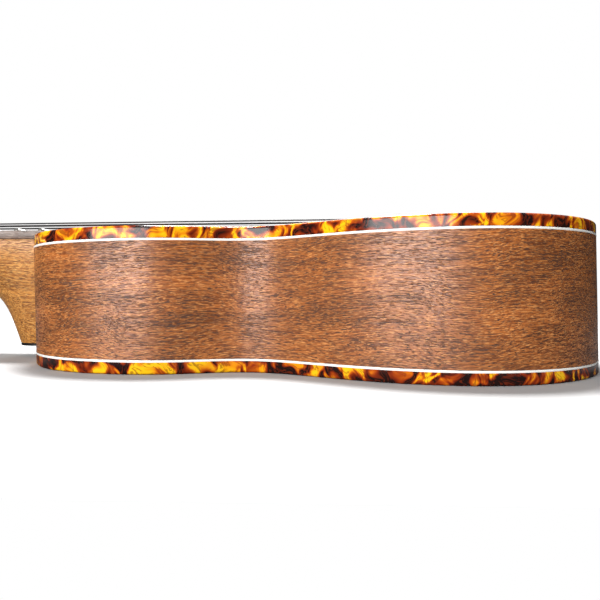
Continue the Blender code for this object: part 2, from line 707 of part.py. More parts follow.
def make_tuner(name, place, finish, head):
    """One geared tuner: housing on the back, bushing through the headstock, post with its gear, and button
    with its worm shaft. Each moving piece has its origin on its own axis.
    """
    x, side = place
    post_at = Matrix.Translation((x, side * POST_Y, 0.0))
    outward = Matrix.Diagonal((1, side, 1, 1))
    pieces = {}

    low = HOUSING_TOP - HOUSING_HEIGHT
    case = box(HOUSING_X, HOUSING_Y, (low, HOUSING_TOP))
    pieces["housing"] = ("tuner_housing", case, "chrome")
    flange = GAP + VENEER_THICKNESS + GAP
    bushing = [(BUSHING_BORE, HOUSING_TOP + GAP), (BUSHING_RADIUS, HOUSING_TOP + GAP)]
    bushing += [(BUSHING_RADIUS, flange)]
    bushing += [(FLANGE_RADIUS, flange), (FLANGE_RADIUS, flange + FLANGE_THICKNESS * 0.6)]
    rim = flange + FLANGE_THICKNESS
    bushing += [(FLANGE_RADIUS - 0.0005, rim), (BUSHING_BORE, rim)]
    pieces["bushing"] = ("tuner_bushing", turned_ring(bushing), "chrome")
    gear_floor = GEAR_TOP - GEAR_THICKNESS
    post = [(GEAR_RADIUS, gear_floor), (GEAR_RADIUS, GEAR_TOP), (POST_RADIUS, GEAR_TOP)]
    post += [(POST_RADIUS, 0.0050)]
    post += [(POST_WAIST_RADIUS, 0.0062), (POST_WAIST_RADIUS, 0.0096), (POST_RADIUS, 0.0110)]
    post += [(POST_RADIUS, POST_TOP - 0.0006), (POST_RADIUS - 0.0006, POST_TOP)]
    pieces["post"] = ("tuner_post", turned_solid(post), "chrome")
    pieces["button"] = ("tuner_button", button_mesh(), "button_plastic")

    made = {}
    for key, (label, bm, slot) in pieces.items():
        if key != "button":
            bm.transform(outward)
        obj = add_object(f"{label}_{name}", bm, finish[slot], head)
        obj.matrix_local = post_at
        made[key] = obj
    turn = Matrix.Rotation(0.0 if side > 0 else math.pi, 4, "Z")
    made["button"].matrix_local = Matrix.Translation((x - WORM_OFFSET, side * POST_Y, WORM_Z)) @ turn

    pocket = [(POST_RADIUS + 0.00015, HOUSING_TOP + 0.002), (POST_RADIUS + 0.00015, GEAR_TOP + 0.0003)]
    pocket += [(GEAR_RADIUS + 0.0003, GEAR_TOP + 0.0003), (GEAR_RADIUS + 0.0003, gear_floor - 0.0003)]
    pocket = turned_solid(list(reversed(pocket)))
    worm_ends = [(-WORM_OFFSET, -0.0049, WORM_Z), (-WORM_OFFSET, 0.012, WORM_Z)]
    worm = cylinder_between(*worm_ends, WORM_RADIUS + 0.0002, 16)
    cross = cylinder_between((0, -0.006, WRAP_HEIGHT), (0, 0.006, WRAP_HEIGHT), STRING_HOLE_RADIUS, 8)
    cuts = [("gear_pocket", pocket, "housing"), ("worm_bore", worm, "housing")]
    cuts.append(("string_hole", cross, "post"))
    for label, bm, target in cuts:
        bm.transform(outward)
        cutter = hide_helper(add_object(f"{label}_cutter_{name}", bm, finish["chrome"], head))
        cutter.matrix_local = post_at
        boolean(made[target], cutter)


def button_mesh():
    """The button with its shaft and worm, along +Y from the post's side, growing flatter outwards."""
    start, end = BUTTON_Y
    rows = []
    shaft = [(-0.0045, WORM_RADIUS), (0.0062, WORM_RADIUS), (0.0064, SHAFT_RADIUS)]
    shaft += [(start - 0.001, SHAFT_RADIUS)]
    stations = [(y, r, r) for y, r in shaft]
    neck = 0.0024
    stations += [(start, neck, neck), (start + 0.0012, neck * 1.15, neck)]
    count = 7
    for k in range(1, count + 1):
        share = k / count
        swell = math.sin(math.pi * (0.16 + 0.78 * share)) ** 0.5
        y = start + 0.0012 + (end - start - 0.0012) * share
        stations.append((y, BUTTON_HALF_WIDTH * swell, BUTTON_HALF_THICKNESS * (0.55 + 0.45 * swell)))
    for y, half_width, half_thickness in stations:
        row = []
        for i in range(16):
            a = 2 * math.pi * i / 16
            row.append((half_width * math.cos(a), y, half_thickness * math.sin(a)))
        rows.append(row)
    return loft(rows)


# ---------------------------------------------------------------- the assembly

def world_x(x, z):
    """How far along the finished instrument a point in the soundboard's plane lies, before centring."""
    return x * math.cos(BACK_ANGLE) - z * math.sin(BACK_ANGLE)


def make_frame():
    """The empties that lay the instrument on its back, pitch the neck up and tilt the headstock back."""
    root = bpy.data.objects.new("instrument", None)
    plane = bpy.data.objects.new("neck_plane", None)
    head = bpy.data.objects.new("headstock_plane", None)
    for empty in (root, plane, head):
        bpy.context.scene.collection.objects.link(empty)
    tail_reach = world_x(BODY_LENGTH, back(TRIM_GAP / 2)(BODY_LENGTH))
    tip_x, _, tip_z = head_to_top(-HEAD_TIP - 0.00028, 0.0, GAP + VENEER_THICKNESS)
    centre = (tail_reach + world_x(tip_x, tip_z)) / 2
    root.rotation_euler = (0.0, -BACK_ANGLE, 0.0)
    root.location = (-centre, 0.0, NECK_END_DEPTH * math.cos(BACK_ANGLE))
    plane.parent = root
    plane.rotation_euler = (0.0, NECK_PITCH, 0.0)
    head.parent = plane
    head.location = (HEAD_ORIGIN_X, 0.0, 0.0)
    head.rotation_euler = (0.0, -HEAD_TILT, 0.0)
    return root, plane, head


def main():
    for obj in list(bpy.data.objects):
        bpy.data.objects.remove(obj)
    finish = make_materials()
    root, plane, head = make_frame()
    dowel = make_dowel(finish, root)
    make_plates(finish, root)
    make_sides(finish, root, dowel)
    make_linings(finish, root)
    make_blocks(finish, root, dowel)
    make_binding(finish, root)
    make_braces(finish, root)
    make_neck(finish, root, plane, head, dowel)
    make_fretboard(finish, plane)
    make_nut(finish, plane)
    make_bridge(finish, root)
    make_strings(finish, root)
    for name, place in post_places().items():
        make_tuner(name, place, finish, head)


main()
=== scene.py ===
# %% [markdown]
# # A soprano ukulele
# The solid parts come in as a fixed frame, in metres, with Z up. This lesson puts the finishes on it:
# bent mahogany with open pores, polished tortoise binding, white purfling lines, an oiled rosewood
# fretboard, and nickel frets. Pieces whose edges need rounding, or whose grain has to follow a bend, are
# made again here and stand in for the plain solids.

import math

import bmesh
import bpy
from mathutils import Matrix, Vector


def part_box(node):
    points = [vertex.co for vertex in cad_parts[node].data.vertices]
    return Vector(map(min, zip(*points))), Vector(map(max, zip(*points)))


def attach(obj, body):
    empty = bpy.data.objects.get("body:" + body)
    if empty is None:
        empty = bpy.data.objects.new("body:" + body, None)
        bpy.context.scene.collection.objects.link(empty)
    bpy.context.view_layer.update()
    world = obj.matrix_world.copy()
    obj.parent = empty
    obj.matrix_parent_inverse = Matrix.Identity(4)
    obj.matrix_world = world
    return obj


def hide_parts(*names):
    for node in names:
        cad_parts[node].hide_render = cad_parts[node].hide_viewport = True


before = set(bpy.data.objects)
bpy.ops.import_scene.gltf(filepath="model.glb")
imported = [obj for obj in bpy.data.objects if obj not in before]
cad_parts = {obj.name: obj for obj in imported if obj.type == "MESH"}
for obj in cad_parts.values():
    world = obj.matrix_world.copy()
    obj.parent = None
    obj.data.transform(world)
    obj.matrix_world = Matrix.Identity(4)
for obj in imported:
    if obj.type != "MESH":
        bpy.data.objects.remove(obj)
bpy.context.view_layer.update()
BODY = "instrument_body"

# %% [markdown]
# The soundboard slopes up towards the tail by about two degrees, because the body is deeper there and the
# back lies flat. It's easier to model in the soundboard's own plane, with X from the neck joint to the
# tail and Z out of the wood. One matrix takes that plane to where the instrument lies. A second one tips
# the nut end of the neck up by about a degree, which lets the bridge and saddle be low, as they are on small
# instruments with nylon strings. A third one hangs the headstock from the nut.

# %% The three working planes
BODY_LENGTH = 0.241
NECK_END_DEPTH = 0.0521
TAIL_END_DEPTH = 0.0609
TAPER = (TAIL_END_DEPTH - NECK_END_DEPTH) / BODY_LENGTH
SLOPE = math.atan(TAPER)
NECK_PITCH = math.radians(1.1)
HEAD_TILT = math.radians(12)
SCALE_LENGTH = 0.350
LAST_FRET_X = 0.0020
NUT_X = LAST_FRET_X - SCALE_LENGTH / 2
HEAD_START_X = NUT_X - 0.0043
BACK_RELIEF = 0.00005

tail_end = BODY_LENGTH * math.cos(SLOPE) + (TAIL_END_DEPTH - BACK_RELIEF) * math.sin(SLOPE)
lift = Vector((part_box("back_binding")[1].x - tail_end, 0, NECK_END_DEPTH * math.cos(SLOPE)))
TOP_PLANE = Matrix.Translation(lift) @ Matrix.Rotation(-SLOPE, 4, "Y")
NECK_PLANE = TOP_PLANE @ Matrix.Rotation(NECK_PITCH, 4, "Y")
HEAD_PLANE = NECK_PLANE @ Matrix.Translation((HEAD_START_X, 0, 0)) @ Matrix.Rotation(-HEAD_TILT, 4, "Y")
print(f"soundboard slope {math.degrees(SLOPE):.2f} degrees, neck joint at x {lift.x:.4f}")

# %% [markdown]
# The camera sits a little above the table and looks straight at the bass side from about a quarter of a
# metre, so the far edges of the body nearly line up with the near ones.

# %% Camera
camera_data = bpy.data.cameras.new("camera")
camera_data.sensor_width = 36
camera_data.lens = 41.6
camera = bpy.data.objects.new("camera", camera_data)
camera.location = (0.1380, -0.3192, 0.02997)
camera.rotation_euler = [math.radians(a) for a in (89.547, -0.865, 0.577)]
bpy.context.scene.collection.objects.link(camera)
bpy.context.scene.camera = camera
bpy.context.scene.view_settings.view_transform = "Standard"
print("camera height above the table", camera.location.z)

# %% [markdown]
# Studio: a white table under a small overhead softbox, and a wide softbox behind the camera on its left.
# Satin wood shows the wide one as soft bright bands where the side turns towards it, and gloss binding
# mirrors it. The table bounces less light than it shows, as a table in a dark studio does, and away from
# the instrument it fades into the white backdrop, as a paper sweep does. A third softbox lights the far
# side from behind.

# %% Table, backdrop and lights
FADE_START, FADE_END = 0.40, 0.85
bm = bmesh.new()
bmesh.ops.create_grid(bm, x_segments=1, y_segments=1, size=4)
table_mesh = bpy.data.meshes.new("table")
bm.to_mesh(table_mesh)
bm.free()
table = bpy.data.objects.new("table", table_mesh)
bpy.context.scene.collection.objects.link(table)

table_finish = bpy.data.materials.new("table_white")
table_finish.use_nodes = True
nodes, links = table_finish.node_tree.nodes, table_finish.node_tree.links
nodes.clear()
seen = nodes.new("ShaderNodeBsdfDiffuse")
seen.inputs["Color"].default_value = (0.50, 0.50, 0.50, 1)
far = nodes.new("ShaderNodeEmission")
place = nodes.new("ShaderNodeTexCoord")
reach = nodes.new("ShaderNodeVectorMath")
reach.operation = "LENGTH"
fade = nodes.new("ShaderNodeMapRange")
fade.inputs["From Min"].default_value = FADE_START
fade.inputs["From Max"].default_value = FADE_END
sweep = nodes.new("ShaderNodeMixShader")
bounce = nodes.new("ShaderNodeBsdfDiffuse")
bounce.inputs["Color"].default_value = (0.10, 0.10, 0.10, 1)
path = nodes.new("ShaderNodeLightPath")
either = nodes.new("ShaderNodeMixShader")
out = nodes.new("ShaderNodeOutputMaterial")
links.new(place.outputs["Object"], reach.inputs[0])
links.new(reach.outputs["Value"], fade.inputs["Value"])
links.new(fade.outputs["Result"], sweep.inputs["Fac"])
links.new(seen.outputs[0], sweep.inputs[1])
links.new(far.outputs[0], sweep.inputs[2])
links.new(path.outputs["Is Camera Ray"], either.inputs["Fac"])
links.new(bounce.outputs[0], either.inputs[1])
links.new(sweep.outputs[0], either.inputs[2])
links.new(either.outputs[0], out.inputs["Surface"])
table_mesh.materials.append(table_finish)

world = bpy.data.worlds.new("studio")
bpy.context.scene.world = world
world.use_nodes = True
nodes, links = world.node_tree.nodes, world.node_tree.links
nodes.clear()
backdrop = nodes.new("ShaderNodeBackground")
backdrop.inputs["Color"].default_value = (1, 1, 1, 1)
room = nodes.new("ShaderNodeBackground")
upward = nodes.new("ShaderNodeSeparateXYZ")
links.new(nodes.new("ShaderNodeTexCoord").outputs["Generated"], upward.inputs[0])
dome = nodes.new("ShaderNodeMapRange")
dome.inputs["From Min"].default_value = 0.25
dome.inputs["From Max"].default_value = 1.0
dome.inputs["To Min"].default_value = 0.025
dome.inputs["To Max"].default_value = 0.45
links.new(upward.outputs["Z"], dome.inputs["Value"])
links.new(dome.outputs["Result"], room.inputs["Strength"])
path = nodes.new("ShaderNodeLightPath")
either = nodes.new("ShaderNodeMixShader")
out = nodes.new("ShaderNodeOutputWorld")
links.new(path.outputs["Is Camera Ray"], either.inputs["Fac"])
links.new(room.outputs[0], either.inputs[1])
links.new(backdrop.outputs[0], either.inputs[2])
links.new(either.outputs[0], out.inputs["Surface"])


def softbox(name, place, aim, width, height, watts):
    """A flat rectangular lamp at place that faces aim."""
    lamp = bpy.data.lights.new(name, "AREA")
    lamp.shape = "RECTANGLE"
    lamp.size, lamp.size_y = width, height
    lamp.energy = watts
    obj = bpy.data.objects.new(name, lamp)
    obj.location = place
    obj.rotation_euler = (Vector(aim) - Vector(place)).to_track_quat("-Z", "Y").to_euler()
    bpy.context.scene.collection.objects.link(obj)
    print(f"{name}: {watts} W over {width} x {height} m")
    return obj


softbox("tall_softbox", (-0.28, -1.22, 0.38), (0.10, 0, 0.05), 1.25, 0.72, 28)
softbox("overhead_softbox", (0.05, 0.36, 1.25), (0.05, 0, 0), 0.34, 0.28, 36)
softbox("rear_softbox", (0.15, 1.30, 0.75), (0.05, 0, 0.03), 0.9, 0.5, 12)

# %% [markdown]
# ## Shared effects
# Wood shows three sizes of detail at once: slow bands of light and dark along the board, fine streaks,
# and open pores, which are short dark dashes. All three stretch along the grain. One node group makes
# them from a position whose first number runs along the grain, so that it serves a flat board and a bent
# side alike.

# %% Small helpers for building node trees


def add_node(tree, kind, **settings):
    """One node, with its plain settings and its unlinked inputs. input_0 is the value of the first input."""
    node = tree.nodes.new(kind)
    for key, value in settings.items():
        if key.startswith("input_"):
            node.inputs[int(key[6:])].default_value = value
        else:
            setattr(node, key, value)
    return node


def new_group(name, inputs, outputs):
    """An empty node group with named sockets. Returns its tree and its two end nodes."""
    tree = bpy.data.node_groups.new(name, "ShaderNodeTree")
    for label, kind, value in inputs:
        socket = tree.interface.new_socket(label, in_out="INPUT", socket_type=kind)
        if value is not None:
            socket.default_value = value
    for label, kind in outputs:
        tree.interface.new_socket(label, in_out="OUTPUT", socket_type=kind)
    return tree, tree.nodes.new("NodeGroupInput"), tree.nodes.new("NodeGroupOutput")


def calculate(tree, operation, a, b=None):
    """A Math node. a and b are sockets or numbers."""
    node = add_node(tree, "ShaderNodeMath", operation=operation)
    for slot, value in enumerate((a, b)):
        if isinstance(value, bpy.types.NodeSocket):
            tree.links.new(value, node.inputs[slot])
        elif value is not None:
            node.inputs[slot].default_value = value
    return node.outputs[0]


def stretch(tree, vector, scale):
    """The position multiplied by a scale for each axis."""
    node = add_node(tree, "ShaderNodeVectorMath", operation="MULTIPLY", input_1=scale)
    tree.links.new(vector, node.inputs[0])
    return node.outputs[0]


def noise(tree, vector, scale=1.0, detail=2.0, roughness=0.5, distortion=0.0):
    """A Noise Texture's value, read at that position."""
    node = add_node(tree, "ShaderNodeTexNoise")
    node.inputs["Scale"].default_value = scale
    node.inputs["Detail"].default_value = detail
    node.inputs["Roughness"].default_value = roughness
    node.inputs["Distortion"].default_value = distortion
    tree.links.new(vector, node.inputs["Vector"])
    return node.outputs["Fac"]


def band(tree, value, low, high):
    """A smooth step of a value from low to high."""
    node = add_node(tree, "ShaderNodeMapRange", interpolation_type="SMOOTHSTEP")
    tree.links.new(value, node.inputs["Value"])
    node.inputs["From Min"].default_value = low
    node.inputs["From Max"].default_value = high
    return node.outputs["Result"]


def blend_colours(tree, factor, a, b, mode="MIX"):
    """A colour between a and b, each a socket or three numbers. The factor is a socket."""
    node = add_node(tree, "ShaderNodeMix", data_type="RGBA", blend_type=mode)
    tree.links.new(factor, node.inputs[0])
    for slot, value in ((6, a), (7, b)):
        if isinstance(value, bpy.types.NodeSocket):
            tree.links.new(value, node.inputs[slot])
        else:
            node.inputs[slot].default_value = (*value, 1.0)
    return node.outputs[2]


# %% Group: wood with bands, streaks and pores
COLOUR, VALUE, VECTOR = "NodeSocketColor", "NodeSocketFloat", "NodeSocketVector"

wood_group, inside, outside = new_group(
    "pored_wood",
    [
        ("Position", VECTOR, None),
        ("Dark", COLOUR, (0.08, 0.03, 0.015, 1)),
        ("Middle", COLOUR, (0.2, 0.08, 0.03, 1)),
        ("Light", COLOUR, (0.35, 0.16, 0.06, 1)),
        ("Pore colour", COLOUR, (0.070, 0.024, 0.010, 1)),
        ("Pores", VALUE, 0.7),
        ("Grain size", VALUE, 1.0),
        ("Figure", VALUE, 0.5),
    ],
    [("Colour", COLOUR), ("Pore mask", VALUE), ("Height", VALUE)],
)
sized = add_node(wood_group, "ShaderNodeVectorMath", operation="SCALE")
wood_group.links.new(inside.outputs["Position"], sized.inputs[0])
wood_group.links.new(inside.outputs["Grain size"], sized.inputs["Scale"])

# The grain isn't quite straight: a slow noise moves each point across it, so pores slant one way, then
# the other.
drift = noise(wood_group, stretch(wood_group, sized.outputs[0], (24, 34, 34)), detail=1.0)
drift = calculate(wood_group, "SUBTRACT", drift, 0.5)
drift = calculate(wood_group, "MULTIPLY", drift, 0.009)
shift = add_node(wood_group, "ShaderNodeCombineXYZ")
wood_group.links.new(drift, shift.inputs["Y"])
wood_group.links.new(drift, shift.inputs["Z"])
wavy = add_node(wood_group, "ShaderNodeVectorMath", operation="ADD")
wood_group.links.new(sized.outputs[0], wavy.inputs[0])
wood_group.links.new(shift.outputs[0], wavy.inputs[1])
wavy = wavy.outputs[0]

streaks = noise(wood_group, stretch(wood_group, wavy, (75, 1800, 1800)), detail=3.0, roughness=0.65)
boards = noise(wood_group, stretch(wood_group, wavy, (10, 240, 240)), detail=2.0)
clouds = noise(wood_group, stretch(wood_group, sized.outputs[0], (32, 70, 70)), detail=2.0)
short_pores = noise(wood_group, stretch(wood_group, wavy, (400, 4200, 4200)), detail=1.0)
long_pores = noise(wood_group, stretch(wood_group, wavy, (120, 3600, 3600)), detail=1.0)
fleck = noise(wood_group, stretch(wood_group, wavy, (480, 3600, 3600)), detail=1.0)

tone = band(wood_group, streaks, 0.39, 0.58)
colour = blend_colours(wood_group, tone, inside.outputs["Dark"], inside.outputs["Middle"])
shine = calculate(wood_group, "MULTIPLY", band(wood_group, fleck, 0.50, 0.70), 0.6)
colour = blend_colours(wood_group, shine, colour, inside.outputs["Light"])

# Long boards of tone and rounder clouds change the brightness. Pores crowd together in the dark clouds.
figure = calculate(wood_group, "ADD", calculate(wood_group, "MULTIPLY", boards, 0.8), clouds)
figure = calculate(wood_group, "SUBTRACT", figure, 0.9)
crowding = calculate(wood_group, "MULTIPLY", figure, -0.16)
figure = calculate(wood_group, "MULTIPLY", figure, inside.outputs["Figure"])
brightness = calculate(wood_group, "ADD", figure, 1.0)
lit = add_node(wood_group, "ShaderNodeVectorMath", operation="SCALE")
wood_group.links.new(colour, lit.inputs[0])
wood_group.links.new(brightness, lit.inputs["Scale"])

short_mask = band(wood_group, calculate(wood_group, "ADD", short_pores, crowding), 0.565, 0.645)
long_mask = band(wood_group, calculate(wood_group, "ADD", long_pores, crowding), 0.60, 0.68)
pore_mask = calculate(wood_group, "MAXIMUM", short_mask, long_mask)
pore_mask = calculate(wood_group, "MULTIPLY", pore_mask, inside.outputs["Pores"])
pored = blend_colours(wood_group, pore_mask, lit.outputs[0], inside.outputs["Pore colour"])
height = calculate(wood_group, "SUBTRACT", calculate(wood_group, "MULTIPLY", streaks, 0.35), pore_mask)
for socket, value in (("Colour", pored), ("Pore mask", pore_mask), ("Height", height)):
    wood_group.links.new(value, outside.inputs[socket])
print("pored_wood:", len(wood_group.nodes), "nodes")

# %% [markdown]
# Tortoise celluloid is poured from a few colours that swirl together before they set: clear amber,
# orange, deep red and nearly black. One noise pushes the position about before two others, round patches
# and narrow bars, pick the colour, which gives patches with curled edges. A narrow red rim lies wherever
# amber meets black, as in the real sheet, and fine red-brown veins cross both.

# %% Group: tortoise swirl
swirl_group, inside, outside = new_group(
    "tortoise_swirl",
    [("Position", VECTOR, None), ("Darkness", VALUE, 0.0)],
    [("Colour", COLOUR), ("Height", VALUE)],
)
moved = add_node(swirl_group, "ShaderNodeVectorMath", operation="ADD", input_1=(0.81, 0, 0))
swirl_group.links.new(inside.outputs["Position"], moved.inputs[0])
here = moved.outputs[0]
push = add_node(swirl_group, "ShaderNodeTexNoise")
push.inputs["Scale"].default_value = 95.0
push.inputs["Detail"].default_value = 1.0
swirl_group.links.new(here, push.inputs["Vector"])
centred = add_node(swirl_group, "ShaderNodeVectorMath", operation="SUBTRACT", input_1=(0.5, 0.5, 0.5))
swirl_group.links.new(push.outputs["Color"], centred.inputs[0])
PUSH = (0.016, 0.010, 0.010)
pushed = add_node(swirl_group, "ShaderNodeVectorMath", operation="MULTIPLY_ADD", input_1=PUSH)
swirl_group.links.new(centred.outputs[0], pushed.inputs[0])
swirl_group.links.new(here, pushed.inputs[2])
leaning = add_node(swirl_group, "ShaderNodeMapping")
leaning.inputs["Rotation"].default_value = (0, 0, math.radians(25))
swirl_group.links.new(pushed.outputs[0], leaning.inputs["Vector"])
leaning = leaning.outputs[0]
patches = noise(swirl_group, stretch(swirl_group, leaning, (100, 84, 84)), detail=1.0, distortion=1.6)
bars = noise(swirl_group, stretch(swirl_group, leaning, (380, 90, 90)), detail=1.0, distortion=0.6)
patches = calculate(swirl_group, "MULTIPLY", patches, 0.80)
bars = calculate(swirl_group, "MULTIPLY", bars, 0.20)
pour = calculate(swirl_group, "ADD", patches, bars)
batch = noise(swirl_group, here, scale=13.0, detail=0.0)
batch = calculate(swirl_group, "MULTIPLY", calculate(swirl_group, "SUBTRACT", batch, 0.46), 0.12)
pour = calculate(swirl_group, "ADD", pour, batch)
pour = calculate(swirl_group, "SUBTRACT", pour, inside.outputs["Darkness"])
ramp = add_node(swirl_group, "ShaderNodeValToRGB")
stops = [
    (0.00, (0.006, 0.004, 0.004)),
    (0.442, (0.016, 0.006, 0.005)),
    (0.462, (0.10, 0.011, 0.004)),
    (0.492, (0.26, 0.030, 0.005)),
    (0.530, (0.50, 0.095, 0.006)),
    (0.565, (0.80, 0.27, 0.007)),
    (0.610, (0.92, 0.50, 0.009)),
    (1.00, (0.96, 0.60, 0.012)),
]
while len(ramp.color_ramp.elements) < len(stops):
    ramp.color_ramp.elements.new(0.5)
for element, (at, rgb) in zip(ramp.color_ramp.elements, stops):
    element.position = at
    element.color = (*rgb, 1)
swirl_group.links.new(pour, ramp.inputs["Fac"])
veins = noise(swirl_group, stretch(swirl_group, leaning, (420, 260, 260)), detail=2.0, distortion=2.2)
vein_mask = calculate(swirl_group, "MULTIPLY", band(swirl_group, veins, 0.50, 0.62), 0.6)
veined = blend_colours(swirl_group, vein_mask, ramp.outputs["Color"], (0.17, 0.022, 0.006))
swirl_group.links.new(veined, outside.inputs["Colour"])
swirl_group.links.new(veins, outside.inputs["Height"])
print("tortoise_swirl:", len(swirl_group.nodes), "nodes")

# %% [markdown]
# Handling leaves the same marks on every finish: hair scratches and a faint unevenness in the gloss. This
# group gives one number to add to a roughness, and a height for a very weak bump.

# %% Group: handling marks
marks_group, inside, outside = new_group(
    "handling_marks",
    [("Position", VECTOR, None), ("Size", VALUE, 1.0)],
    [("Roughness change", VALUE), ("Height", VALUE)],
)
sized = add_node(marks_group, "ShaderNodeVectorMath", operation="SCALE")
marks_group.links.new(inside.outputs["Position"], sized.inputs[0])
marks_group.links.new(inside.outputs["Size"], sized.inputs["Scale"])
smears = noise(marks_group, sized.outputs[0], scale=60, detail=3.0)
hairs = noise(marks_group, stretch(marks_group, sized.outputs[0], (120, 3500, 3500)), detail=1.0)
hair_mask = band(marks_group, hairs, 0.70, 0.78)
change = calculate(marks_group, "MULTIPLY", calculate(marks_group, "SUBTRACT", smears, 0.5), 0.16)
change = calculate(marks_group, "ADD", change, calculate(marks_group, "MULTIPLY", hair_mask, 0.12))
marks_group.links.new(change, outside.inputs["Roughness change"])
marks_group.links.new(smears, outside.inputs["Height"])

# %% [markdown]
# ## Materials
# Every finish starts the same way: a Principled shader, a position to read patterns at, and the handling
# marks on its roughness. The position is the object's own, or, on the bent parts, an attribute that was
# unrolled along the bend.

# %% Material helpers


def start_material(name, metallic=0.0, along_bend=False):
    """A material with a Principled shader. Returns it, its tree, its shader and its position socket."""
    made = bpy.data.materials.new(name)
    made.use_nodes = True
    tree = made.node_tree
    shader = tree.nodes["Principled BSDF"]
    shader.inputs["Metallic"].default_value = metallic
    if along_bend:
        position = add_node(tree, "ShaderNodeAttribute", attribute_name="unrolled").outputs["Vector"]
    else:
        position = add_node(tree, "ShaderNodeTexCoord").outputs["Object"]
    return made, tree, shader, position


def place_group(tree, group, position, **values):
    """A group's node in a material, reading patterns at that position."""
    node = add_node(tree, "ShaderNodeGroup", node_tree=group)
    tree.links.new(position, node.inputs["Position"])
    for key, value in values.items():
        socket = node.inputs[key.replace("_", " ")]
        socket.default_value = (*value, 1) if isinstance(value, tuple) else value
    return node


def mark_and_bump(tree, shader, position, base, height=None, strength=0.1, distance=0.0001, extra=None):
    """Puts the handling marks on the roughness, and a bump from a height."""
    marks = place_group(tree, marks_group, position)
    rough = calculate(tree, "ADD", marks.outputs["Roughness change"], base)
    if extra is not None:
        rough = calculate(tree, "ADD", rough, extra)
    rough = calculate(tree, "MAXIMUM", rough, 0.03)
    tree.links.new(rough, shader.inputs["Roughness"])
    bump = add_node(tree, "ShaderNodeBump")
    bump.inputs["Strength"].default_value = strength
    bump.inputs["Distance"].default_value = distance
    tree.links.new(height if height is not None else marks.outputs["Height"], bump.inputs["Height"])
    tree.links.new(bump.outputs["Normal"], shader.inputs["Normal"])


def wood_material(
    name,
    dark,
    middle,
    light,
    roughness,
    along_bend=False,
    strength=0.35,
    pores=0.7,
    size=1.0,
    figure=0.5,
    specular=0.5,
):
    """Open-pored wood in three colours. along_bend reads the grain from the unrolled position."""
    made, tree, shader, position = start_material(name, along_bend=along_bend)
    colours = {"Dark": dark, "Middle": middle, "Light": light}
    wood = place_group(tree, wood_group, position, **colours, Pores=pores, Grain_size=size, Figure=figure)
    tree.links.new(wood.outputs["Colour"], shader.inputs["Base Color"])
    shader.inputs["Specular IOR Level"].default_value = specular
    dull_pores = calculate(tree, "MULTIPLY", wood.outputs["Pore mask"], 0.25)
    mark_and_bump(tree, shader, position, roughness, wood.outputs["Height"], strength, 0.00012, dull_pores)
    return made


def plain_material(name, colour, roughness, metallic=0.0, fleck=0.06, strength=0.05):
    """Moulded plastic or metal, with a slow change of tone over it."""
    made, tree, shader, position = start_material(name, metallic)
    cloud = noise(tree, position, scale=110, detail=4.0)
    darker = tuple(c * (1 - fleck * 2) for c in colour)
    lighter = tuple(min(c * (1 + fleck), 1) for c in colour)
    tree.links.new(blend_colours(tree, cloud, darker, lighter), shader.inputs["Base Color"])
    mark_and_bump(tree, shader, position, roughness, None, strength)
    return made


# %% The woods
mahogany = ((0.170, 0.045, 0.011), (0.38, 0.118, 0.026), (0.76, 0.34, 0.11))
side_wood = wood_material(
    "side_mahogany", *mahogany, 0.33, along_bend=True, strength=0.5, figure=0.8, pores=1.0, specular=0.62
)
plate_wood = wood_material("plate_mahogany", *mahogany, 0.33, figure=0.7, pores=0.85, specular=0.7)
pale_mahogany = ((0.30, 0.10, 0.018), (0.58, 0.25, 0.055), (0.84, 0.47, 0.14))
neck_wood = wood_material("neck_mahogany", *pale_mahogany, 0.42, pores=0.8)
# The fretboard gets a lighter, greyer rosewood than the bridge and the headstock veneer.
greyish_rosewood = ((0.070, 0.040, 0.027), (0.165, 0.105, 0.075), (0.28, 0.20, 0.15))
rosewood = wood_material("fretboard_rosewood", *greyish_rosewood, 0.34, pores=0.5, size=0.9, specular=0.6)
back_wood = wood_material(
    "back_mahogany", *mahogany, 0.33, along_bend=True, figure=0.7, pores=0.85, specular=0.7
)
dark_rosewood = ((0.030, 0.014, 0.009), (0.095, 0.045, 0.028), (0.19, 0.105, 0.065))
bridge_wood = wood_material("oiled_rosewood", *dark_rosewood, 0.46, pores=0.6, size=0.9, specular=0.35)
spruce = ((0.36, 0.22, 0.11), (0.52, 0.35, 0.19), (0.66, 0.48, 0.29))
inner_wood = wood_material("bare_spruce", *spruce, 0.65, pores=0.15)
woods = (side_wood, plate_wood, neck_wood, rosewood, back_wood, bridge_wood, inner_wood)
print("woods:", [wood.name for wood in woods])

# %% The plastics, bone, nylon and metals
tortoise, tree, shader, position = start_material("tortoise", along_bend=True)
swirl = place_group(tree, swirl_group, position, Darkness=0.014)
tree.links.new(swirl.outputs["Colour"], shader.inputs["Base Color"])
shader.inputs["Specular IOR Level"].default_value = 0.32
mark_and_bump(tree, shader, position, 0.13, swirl.outputs["Height"], 0.03, 0.00005)

purfling_white = plain_material("purfling_white", (0.95, 0.94, 0.90), 0.30, fleck=0.01)
bone = plain_material("bone", (0.80, 0.75, 0.63), 0.34, fleck=0.06)
black_plastic = plain_material("heel_cap_black", (0.010, 0.010, 0.011), 0.30)
nylon = plain_material("black_nylon", (0.020, 0.020, 0.022), 0.22)
cream = plain_material("button_cream", (0.80, 0.75, 0.64), 0.22, fleck=0.03)
pearl = plain_material("dot_pearl", (0.82, 0.82, 0.80), 0.18, fleck=0.14)
fret_nickel = plain_material("fret_nickel", (0.66, 0.64, 0.60), 0.24, metallic=1.0, strength=0.08)
chrome = plain_material("tuner_chrome", (0.74, 0.74, 0.75), 0.14, metallic=1.0, strength=0.04)

